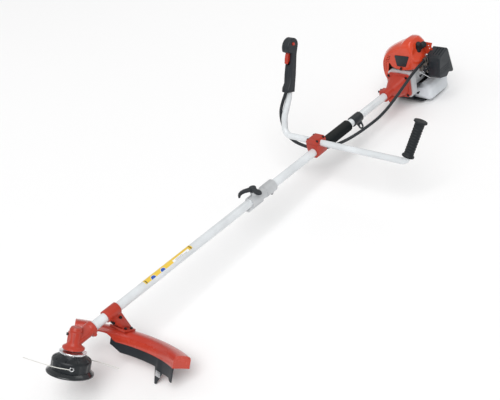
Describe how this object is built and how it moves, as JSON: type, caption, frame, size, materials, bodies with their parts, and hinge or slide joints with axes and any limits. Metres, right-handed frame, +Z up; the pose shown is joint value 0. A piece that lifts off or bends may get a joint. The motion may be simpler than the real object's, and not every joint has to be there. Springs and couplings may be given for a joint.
{
  "type": "string trimmer",
  "caption": "Petrol string trimmer with a two-line bump head, guard, two-piece straight shaft, wide handlebar and shoulder-harness hanger.",
  "frame": {"origin": "centre of the engine foot's flat underside, on the surface the machine rests on", "axes": "+Z up, +Y rearward from the line head to the engine, +X to the machine's left; the machine rests on the foot and the guard's leg"},
  "size_m": [0.5853, 1.9067, 0.4614],
  "materials": {
    "white_paint": "satin",
    "red_paint": "semi-gloss",
    "red_plastic": "semi-gloss",
    "black_plastic": "satin",
    "rubber": "matte",
    "foam": "matte, fine cells",
    "steel": "machined",
    "chrome": "polished",
    "cast_alloy": "as cast",
    "black_screw": "black oxide",
    "tank_plastic": "translucent",
    "nylon_line": "satin",
    "muffler_steel": "heat dulled"
  },
  "bodies": {
    "power_unit": {"upper_tube": "white_paint", "upper_bushes": "black_plastic", "coupling_body": "cast_alloy", "handlebar": "white_paint", "bar_clamp_base": "red_paint", "bar_clamp_cap": "red_paint", "upper_screws": "black_screw", "left_grip": "rubber", "handle_shell_left": "black_plastic", "handle_shell_right": "black_plastic", "foam_grip": "foam", "harness_hanger": "black_plastic", "throttle_conduit": "black_plastic", "clutch_housing": "red_paint", "crankcase": "cast_alloy", "cylinder": "cast_alloy", "spark_plug": "steel", "plug_cap": "black_plastic", "muffler": "muffler_steel", "engine_cover": "red_plastic", "carburettor": "cast_alloy", "air_filter_base": "black_plastic", "fuel_tank": "tank_plastic", "engine_foot": "black_plastic", "recoil_housing": "black_plastic"},
    "lower_unit": {"lower_tube": "white_paint", "lower_bushes": "black_plastic", "gear_head_housing": "red_paint", "gear_head_bearings": "steel", "guard_bracket": "red_paint", "lower_screws": "black_screw", "guard": "red_plastic", "guard_skirt": "black_plastic", "line_cutter": "steel"},
    "trimmer_head": {"output_spindle": "steel", "head_adapter": "chrome", "head_housing": "black_plastic", "spool_cover": "black_plastic", "line_eyelets": "steel", "cutting_lines": "nylon_line"},
    "bump_feed": {"bump_knob": "black_plastic", "line_spool": "black_plastic"},
    "lower_drive": {"lower_drive_shaft": "steel"},
    "upper_drive": {"upper_drive_shaft": "steel", "clutch_drum": "steel"},
    "engine_rotor": {"crankshaft": "steel", "flywheel": "cast_alloy", "clutch_shoes": "steel"},
    "piston": {"piston": "cast_alloy"},
    "coupling_knob": {"coupling_knob": "black_plastic"},
    "throttle_trigger": {"throttle_trigger": "red_plastic"},
    "throttle_lever": {"throttle_lever": "steel"},
    "lock_lever": {"lock_lever": "black_plastic"},
    "stop_switch": {"stop_switch": "red_plastic"},
    "half_throttle_button": {"half_throttle_button": "red_plastic"},
    "choke_lever": {"choke_lever": "black_plastic"},
    "air_filter_cover": {"air_filter_cover": "black_plastic"},
    "fuel_cap": {"fuel_cap": "black_plastic"},
    "recoil_pulley": {"recoil_pulley": "black_plastic"},
    "starter_handle": {"starter_handle": "black_plastic"}
  },
  "joints": [
    {"name": "shaft_split", "type": "slide", "parent": "power_unit", "child": "lower_unit", "axis": [0, -0.9989, 0.0474], "range_m": [0, 0.09]},
    {"name": "head_spin", "type": "hinge", "parent": "lower_unit", "child": "trimmer_head", "pos_m": [0, -1.71471, 0.17346], "axis": [0, 0.5645, 0.8254], "continuous": true},
    {"name": "bump_feed_press", "type": "slide", "parent": "trimmer_head", "child": "bump_feed", "axis": [0, 0.5645, 0.8254], "range_m": [0, 0.006], "stiffness_N_per_m": 1500, "springref_m": -0.004},
    {"name": "lower_drive_spin", "type": "hinge", "parent": "lower_unit", "child": "lower_drive", "pos_m": [0, -1.61482, 0.16872], "axis": [0, 0.9989, -0.0474], "continuous": true},
    {"name": "upper_drive_spin", "type": "hinge", "parent": "power_unit", "child": "upper_drive", "pos_m": [0, -0.81572, 0.13081], "axis": [0, 0.9989, -0.0474], "continuous": true},
    {"name": "crankshaft_spin", "type": "hinge", "parent": "power_unit", "child": "engine_rotor", "pos_m": [0, -0.03859, 0.09394], "axis": [0, 0.9989, -0.0474], "continuous": true},
    {"name": "piston_stroke", "type": "slide", "parent": "power_unit", "child": "piston", "axis": [0, 0.0474, 0.9989], "range_m": [-0.03, 0]},
    {"name": "coupling_knob_turn", "type": "hinge", "parent": "power_unit", "child": "coupling_knob", "pos_m": [0, -0.94215, 0.16684], "axis": [0, 0.0474, 0.9989], "range_deg": [0, 720]},
    {"name": "throttle_trigger_pull", "type": "hinge", "parent": "power_unit", "child": "throttle_trigger", "pos_m": [-0.132, -0.49746, 0.4244], "axis": [1, 0, 0], "range_deg": [0, 16], "stiffness_Nm_per_rad": 0.25, "springref_deg": -11.46},
    {"name": "throttle_lever_turn", "type": "hinge", "parent": "power_unit", "child": "throttle_lever", "pos_m": [0.08, -0.02518, 0.12333], "axis": [0, 0.0474, 0.9989], "range_deg": [0, 64]},
    {"name": "lock_lever_squeeze", "type": "hinge", "parent": "power_unit", "child": "lock_lever", "pos_m": [-0.132, -0.49145, 0.4024], "axis": [-1, 0, 0], "range_deg": [0, 5], "stiffness_Nm_per_rad": 0.2, "springref_deg": -11.46},
    {"name": "stop_switch_slide", "type": "slide", "parent": "power_unit", "child": "stop_switch", "axis": [0, 0.3841, 0.9233], "range_m": [0, 0.006]},
    {"name": "half_throttle_press", "type": "slide", "parent": "power_unit", "child": "half_throttle_button", "axis": [-1, 0, 0], "range_m": [0, 0.003], "stiffness_N_per_m": 800, "springref_m": -0.001},
    {"name": "choke_turn", "type": "hinge", "parent": "power_unit", "child": "choke_lever", "pos_m": [0.101, -0.08369, 0.15614], "axis": [0, 0.9989, -0.0474], "range_deg": [0, 70]},
    {"name": "filter_cover_off", "type": "slide", "parent": "power_unit", "child": "air_filter_cover", "axis": [1, 0, 0], "range_m": [0, 0.08]},
    {"name": "fuel_cap_turn", "type": "hinge", "parent": "power_unit", "child": "fuel_cap", "pos_m": [-0.07, 0.04736, 0.06983], "axis": [0, 0.0474, 0.9989], "range_deg": [0, 450]},
    {"name": "starter_pull", "type": "slide", "parent": "power_unit", "child": "starter_handle", "axis": [1, 0, 0], "range_m": [0, 0.6], "stiffness_N_per_m": 10, "springref_m": -0.6},
    {"name": "recoil_pulley_spin", "type": "hinge", "parent": "power_unit", "child": "recoil_pulley", "pos_m": [0, 0.04332, 0.09005], "axis": [0, 0.9989, -0.0474], "range_deg": [0, 1380]}
  ],
  "couplings": [
    {"joint": "lower_drive_spin", "follows": "head_spin", "ratio": -1.3571},
    {"joint": "upper_drive_spin", "follows": "head_spin", "ratio": -1.3571},
    {"joint": "throttle_lever_turn", "follows": "throttle_trigger_pull", "ratio": 4},
    {"joint": "recoil_pulley_spin", "follows": "starter_pull", "rad_per_m": 40}
  ]
}
